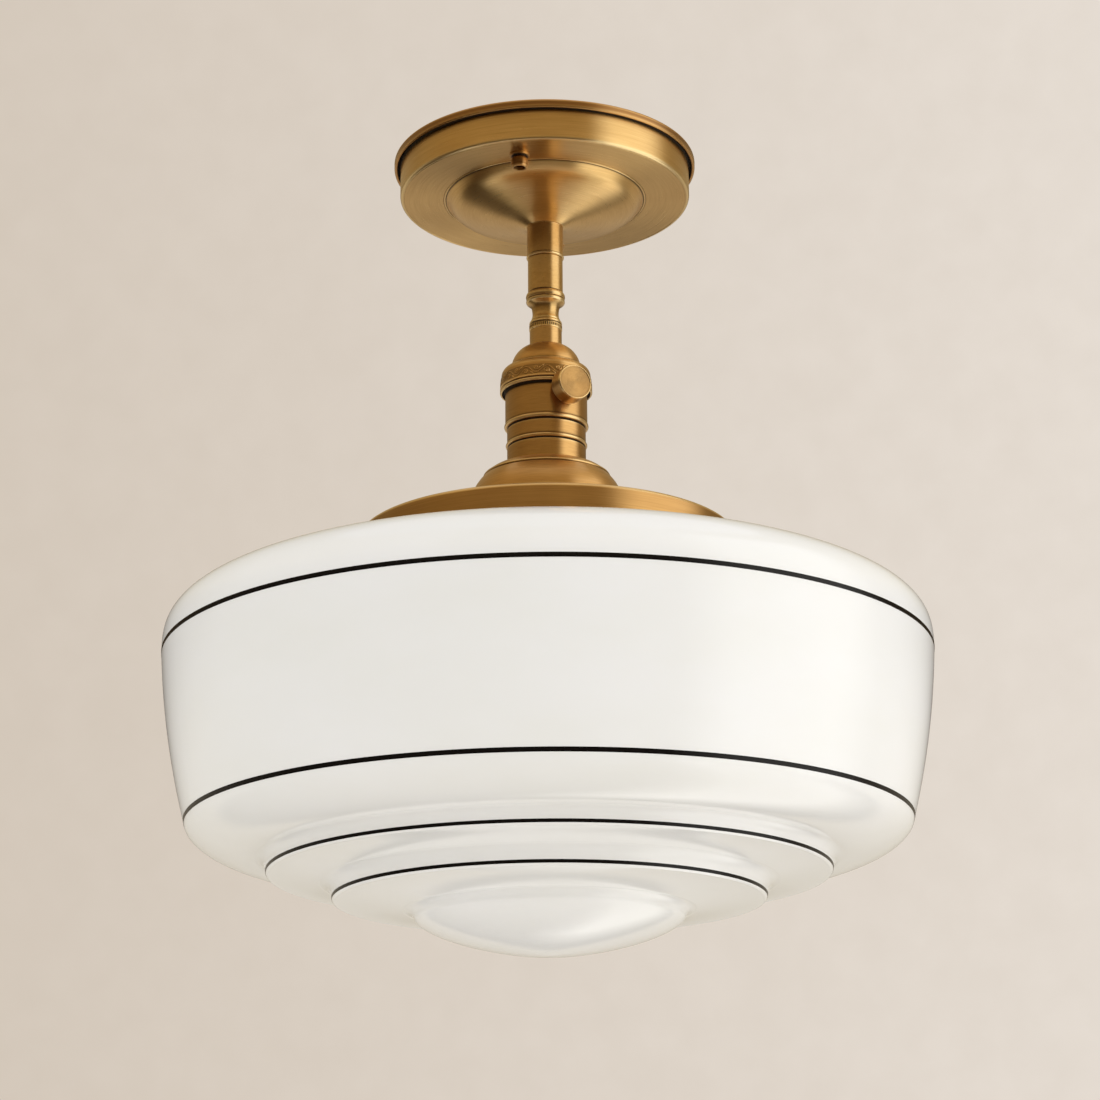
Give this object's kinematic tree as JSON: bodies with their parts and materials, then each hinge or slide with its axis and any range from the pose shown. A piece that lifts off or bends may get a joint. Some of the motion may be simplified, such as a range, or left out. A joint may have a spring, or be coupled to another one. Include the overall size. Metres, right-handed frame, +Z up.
{
  "type": "semi flush ceiling light",
  "caption": "Semi flush ceiling light: stepped opal glass shade with painted bands on a turned brass stem, with a turn-knob lampholder and a round canopy.",
  "frame": {"origin": "centre of the crossbar's top face, in the plane of the ceiling, on the axis of the stem", "axes": "+Z up out of the ceiling face along the stem, +Y along the crossbar, from its middle away from the near canopy stud, +X to the right of +Y seen from above"},
  "size_m": [0.3566, 0.3566, 0.3884],
  "materials": {
    "aged_brass": "aged, brushed in rings, lacquered",
    "zinc_steel": "zinc plated",
    "green_screw": "green passivated",
    "opal_glass": "glossy opal, white",
    "black_enamel": "fired gloss enamel",
    "phenolic": "moulded",
    "fibre": "vulcanised fibre",
    "contact_brass": "bright",
    "lead_black": "insulation",
    "lead_white": "insulation",
    "lamp_glass": "frosted",
    "lamp_cap_metal": "bright",
    "solder": "tinned"
  },
  "bodies": {
    "fixture": {"ceiling_plate": "aged_brass", "crossbar": "zinc_steel", "ground_screw": "green_screw", "canopy_studs": "zinc_steel", "stud_lock_nuts": "zinc_steel", "cap_nuts": "aged_brass", "canopy": "aged_brass", "pipe_washer": "zinc_steel", "pipe_nut": "zinc_steel", "stem_pipe": "zinc_steel", "stem_collar": "aged_brass", "stem_body": "aged_brass", "stem_ring": "aged_brass", "stem_sleeve": "aged_brass", "socket_cap": "aged_brass", "socket_shell": "aged_brass", "shell_extension": "contact_brass", "insulating_liner": "fibre", "socket_body": "phenolic", "terminal_screws": "contact_brass", "live_lead": "lead_black", "neutral_lead": "lead_white", "screw_shell": "contact_brass", "centre_contact": "contact_brass", "holder_collar": "aged_brass", "fitter_pan": "aged_brass", "clamp_ring": "aged_brass", "screw_bosses": "aged_brass", "glass_shade": "opal_glass", "painted_bands": "black_enamel"},
    "switch": {"switch_shaft": "contact_brass", "switch_cam": "contact_brass", "switch_knob": "aged_brass"},
    "screw_1_travel": {"screw_shank_1": "aged_brass"},
    "screw_1_turn": {"screw_head_1": "aged_brass"},
    "screw_2_travel": {"screw_shank_2": "aged_brass"},
    "screw_2_turn": {"screw_head_2": "aged_brass"},
    "screw_3_travel": {"screw_shank_3": "aged_brass"},
    "screw_3_turn": {"screw_head_3": "aged_brass"},
    "lamp_travel": {"lamp_tip": "solder"},
    "lamp": {"lamp_glass": "lamp_glass", "lamp_cap": "lamp_cap_metal"}
  },
  "joints": [
    {"name": "switch_turn", "type": "hinge", "parent": "fixture", "child": "switch", "pos_m": [0, 0, -0.1234], "axis": [0.6266, -0.7793, 0], "continuous": true},
    {"name": "thumbscrew_1_turn", "type": "hinge", "parent": "screw_1_travel", "child": "screw_1_turn", "pos_m": [-0.02536, 0.09466, -0.208], "axis": [-0.2588, 0.9659, 0], "range_deg": [0, 2160.6]},
    {"name": "thumbscrew_1_travel", "type": "slide", "parent": "fixture", "child": "screw_1_travel", "axis": [-0.2588, 0.9659, 0], "range_m": [0, 0.00476]},
    {"name": "thumbscrew_2_turn", "type": "hinge", "parent": "screw_2_travel", "child": "screw_2_turn", "pos_m": [-0.0693, -0.0693, -0.208], "axis": [-0.7071, -0.7071, 0], "range_deg": [0, 2160.6]},
    {"name": "thumbscrew_2_travel", "type": "slide", "parent": "fixture", "child": "screw_2_travel", "axis": [-0.7071, -0.7071, 0], "range_m": [0, 0.00476]},
    {"name": "thumbscrew_3_turn", "type": "hinge", "parent": "screw_3_travel", "child": "screw_3_turn", "pos_m": [0.09466, -0.02536, -0.208], "axis": [0.9659, -0.2588, 0], "range_deg": [0, 2160.6]},
    {"name": "thumbscrew_3_travel", "type": "slide", "parent": "fixture", "child": "screw_3_travel", "axis": [0.9659, -0.2588, 0], "range_m": [0, 0.00476]},
    {"name": "lamp_turn", "type": "hinge", "parent": "lamp_travel", "child": "lamp", "pos_m": [0, 0, -0.16], "axis": [0, 0, -1], "range_deg": [0, 2520.6]},
    {"name": "lamp_travel", "type": "slide", "parent": "fixture", "child": "lamp_travel", "axis": [0, 0, -1], "range_m": [0, 0.0254]}
  ],
  "couplings": [
    {"joint": "thumbscrew_1_turn", "follows": "thumbscrew_1_travel", "rad_per_m": 7913.3},
    {"joint": "thumbscrew_2_turn", "follows": "thumbscrew_2_travel", "rad_per_m": 7913.3},
    {"joint": "thumbscrew_3_turn", "follows": "thumbscrew_3_travel", "rad_per_m": 7913.3},
    {"joint": "lamp_turn", "follows": "lamp_travel", "rad_per_m": 1731.6}
  ]
}
